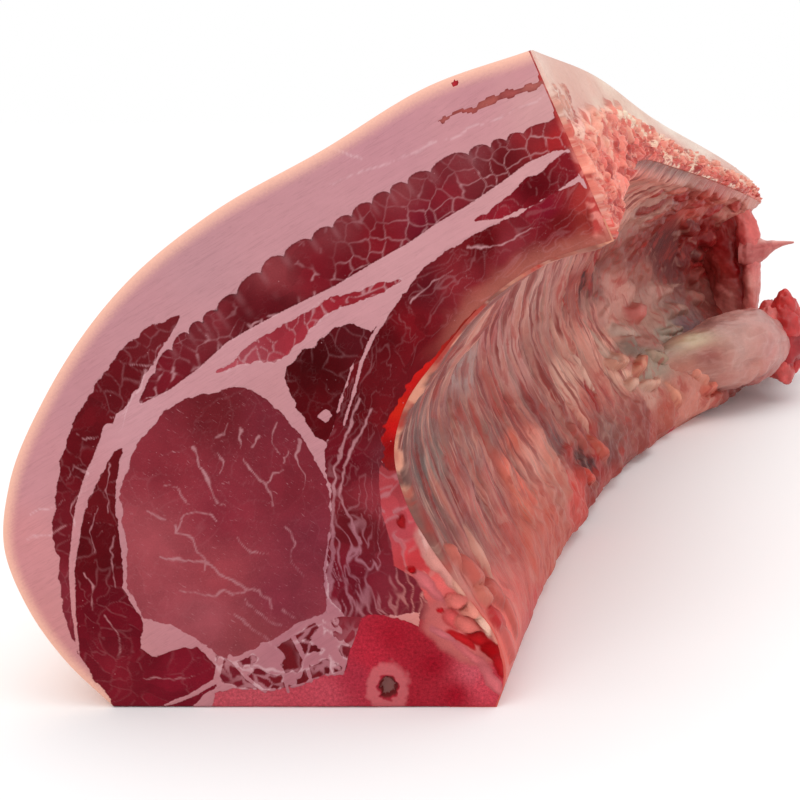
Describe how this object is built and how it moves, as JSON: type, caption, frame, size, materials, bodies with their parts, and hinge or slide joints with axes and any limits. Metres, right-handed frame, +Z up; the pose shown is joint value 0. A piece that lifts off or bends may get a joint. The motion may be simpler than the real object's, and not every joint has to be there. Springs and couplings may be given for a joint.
{
  "type": "raw pork loin",
  "caption": "Whole bone-in raw pork loin lying on its sawn chine: back fat, layered muscles and loin eye on the cut end, rib hollow at the side, tenderloin and flank at the far end.",
  "frame": {"origin": "middle of the bounding box in plan, on the sawn face that the loin rests on", "axes": "+Y along the loin from the cut end to the flank end, +X towards the rib hollow, +Z up"},
  "size_m": [0.4674, 0.7003, 0.2217],
  "materials": {
    "fat": "moist satin back fat under a thin skin",
    "seam_fat": "moist satin fat",
    "dark_muscle": "moist dark red meat",
    "eye_muscle": "moist pale pink-brown meat",
    "pale_muscle": "moist streaky meat",
    "rib_wall": "wet membrane over ribs",
    "bone": "sawn spongy bone, damp",
    "tenderloin": "silvery wet membrane over meat",
    "flank": "wet ragged meat and fat"
  },
  "bodies": {
    "root": {"back_fat": "fat", "cap_band_muscle": "dark_muscle", "cap_side_muscle": "dark_muscle", "side_muscle": "dark_muscle", "seam_fat": "seam_fat", "loin_eye": "eye_muscle", "spindle_muscle": "pale_muscle", "leaf_muscle": "dark_muscle", "rib_muscle": "dark_muscle", "back_muscle": "pale_muscle", "rib_cage": "rib_wall", "chine_bone": "bone", "tenderloin": "tenderloin", "flank_flap": "flank"}
  },
  "joints": []
}
